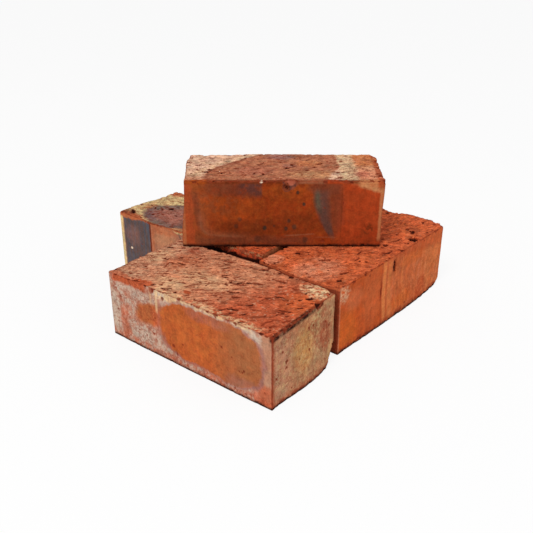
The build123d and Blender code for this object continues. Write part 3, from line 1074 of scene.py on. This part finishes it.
class BRICKS_OT_top(BrickOperator, Operator):
    """Build the top brick, with the chip in its arris and the broken far corner"""

    bl_idname = "bricks.top"
    bl_label = "Top brick"

    def execute(self, context):
        scene = context.scene
        at, turn, drag = MOUNT_AT["top_face"] - Vector((0, 0, TOP_HEIGHT)), TOP_TURN, 20
        brick = ClayBrick(scene.brick_sizes, 5, drag)
        side, top = -brick.half.y, brick.top
        brick.weather((110, 2.2, 30, 0.3), (80, 60), 10)
        brick.holes(
            0.7, (-80, -9, 3.6), (-66, -23, 3), (-26, 9, 3), (4, -3, 3.4), (10, 7, 2.4), (27, -12, 2.4, 0.9),
            (60, -20, 2.4, 0.9), (43, 15, 2.2, 0.9), (-21, -27, 2.2, 0.9), (98, -36, 2, 0.9), (-82, 36, 2.4, 0.9),
            (66, 22, 2.4, 0.9), (-95, 5, 2, 0.9), (-94, -11, 2.2, 0.9), (-51, -6, 2.4, 0.9), (-43, 5, 2, 0.8),
            (-5, 28, 2, 0.8), (20, 36, 1.8, 0.8), (92, -11, 2.2, 0.8), (83, 5, 1.8, 0.8), (-103, 33, 1.8, 0.8),
        )
        for x, z in ((45, top), (72, top), (-96, top), (53, 0), (88, 0)):
            brick.press((x, side, z), 3.2, 2, 0.7)
        brick.nicks((brick.half.x, None, top), 0.5, 0.6, (-36, 4), (-3, 5), (24, 4.4))
        brick.ease((-107.5, -52, 75), 60, (3, 0, 0))
        brick.ease((-107.5, -52, 0), 55, (-1.5, 0, 0))
        brick.ease((-107.5, 22, 75), 28, (-1.5, 0, 0))
        brick.ease((107.5, -52, 72), 40, (1.2, 0, 0))
        patches = [((x, -52, 75), 16, 0.9) for x in (-70, -38, 32, 62, 90)]
        patches += [((-92, 52, 75), 30, 1.6), ((0, 52, 75), 34, -0.8), ((52, 52, 75), 34, 1)]
        patches += [((92, 52, 75), 22, 1.6), ((107, 20, 75), 20, 1), ((107, -28, 75), 16, 0.8)]
        brick.fray(1.7, 1.1, *patches)
        brick.settle()
        brick.scoop((8.5, side, top - 3), 9, 5, (0, -1, 0.8))
        brick.scoop((4, side, top - 7.5), 4.5, 4, (0, -1, 0.3))
        brick.break_off((1, 1, 1), (9, 14, 12))
        brick.skew(-5)
        piece = brick.finished("top_brick", at, turn)
        return self.declare(piece, "brick_top", "clay_top", top_clay(scene, at, turn, drag))


class BRICKS_OT_studio(Operator):
    """Set up the white floor, the soft light and the camera"""

    bl_idname = "bricks.studio"
    bl_label = "Studio"

    def execute(self, context):
        studio = context.scene.studio_sizes
        self.add_camera(studio)
        self.add_floor(studio)
        self.add_sky(studio)
        self.add_lamp("key_lamp", (-0.7, -1.3, 1.8), 0.7, studio.key)
        self.add_lamp("fill_lamp", (1.7, -1.0, 0.9), 1.2, studio.fill)
        context.scene.view_settings.view_transform = "Standard"
        return {"FINISHED"}

    def add_camera(self, studio):
        camera = bpy.data.cameras.new("camera")
        camera.lens = studio.focal_pixels / PICTURE_WIDTH * camera.sensor_width
        camera.clip_end = 50.0
        turn = (math.pi / 2 - studio.camera_pitch, 0, 0)
        bpy.context.scene.camera = add_object("camera", camera, studio.camera_at, turn)

    def add_floor(self, studio):
        """A pale floor that the camera sees as nearly white, and that keeps the shadow."""
        bm = bmesh.new()
        bmesh.ops.create_grid(bm, x_segments=1, y_segments=1, size=studio.floor_size)
        floor = add_object("floor", new_mesh("floor", bm))
        paint = Paint(bpy.data.materials.new("floor_white"))
        pale = paint.node("ShaderNodeBsdfDiffuse", None, {"Color": (0.85, 0.85, 0.85, 1)})
        white = paint.node("ShaderNodeEmission", None, {"Color": (1, 1, 1, 1), "Strength": 1.0})
        seen = self.seen_rays(paint) * studio.floor_white
        shown = paint.node("ShaderNodeMixShader", None, [seen, pale, white])
        paint.node("ShaderNodeOutputMaterial", None, {"Surface": shown})
        floor.data.materials.append(paint.holder)

    def seen_rays(self, paint):
        """1 for the rays that show the background: from the camera, mirrored or passed through."""
        rays = paint.node("ShaderNodeLightPath").socket.node.outputs
        seen = [Wire(paint, rays[f"Is {kind} Ray"]) for kind in ("Camera", "Glossy", "Transmission")]
        return seen[0] | seen[1] | seen[2]

    def add_sky(self, studio):
        world = bpy.context.scene.world = bpy.data.worlds.new("sky")
        paint = Paint(world)
        seen = self.seen_rays(paint)
        strength = seen + (1 - seen) * studio.sky
        sky = paint.node("ShaderNodeBackground", None, {"Color": (1, 1, 1, 1), "Strength": strength})
        paint.node("ShaderNodeOutputWorld", None, {"Surface": sky})

    def add_lamp(self, name, at, size, power):
        lamp = bpy.data.lights.new(name, "AREA")
        lamp.shape, lamp.size, lamp.energy = "DISK", size, power
        add_object(name, lamp, at, (-Vector(at)).to_track_quat("-Z", "Y").to_euler())


class BRICKS_PT_bricks(Panel):
    """The steps that build the stack, in order"""

    bl_idname = "BRICKS_PT_bricks"
    bl_label = "Clay bricks"
    bl_space_type = "VIEW_3D"
    bl_region_type = "UI"
    bl_category = "Bricks"

    def draw(self, context):
        for step in STEPS:
            self.layout.operator(step.bl_idname)


STEPS = (BRICKS_OT_front, BRICKS_OT_right, BRICKS_OT_back, BRICKS_OT_top, BRICKS_OT_studio)
GROUPS = {
    "brick_sizes": BrickSizes,
    "front_tints": FrontTints,
    "right_tints": RightTints,
    "back_tints": BackTints,
    "top_tints": TopTints,
    "clay_tints": ClayTints,
    "studio_sizes": StudioSizes,
}


def register():
    for group in (*GROUPS.values(), *STEPS, BRICKS_PT_bricks):
        bpy.utils.register_class(group)
    for name, group in GROUPS.items():
        setattr(bpy.types.Scene, name, PointerProperty(type=group))


def unregister():
    for name in GROUPS:
        delattr(bpy.types.Scene, name)
    for group in (BRICKS_PT_bricks, *reversed(STEPS), *reversed(GROUPS.values())):
        bpy.utils.unregister_class(group)


def main():
    register()
    bpy.ops.bricks.front()
    bpy.ops.bricks.right()
    bpy.ops.bricks.back()
    bpy.ops.bricks.top()
    bpy.ops.bricks.studio()


if __name__ == "__main__":
    main()
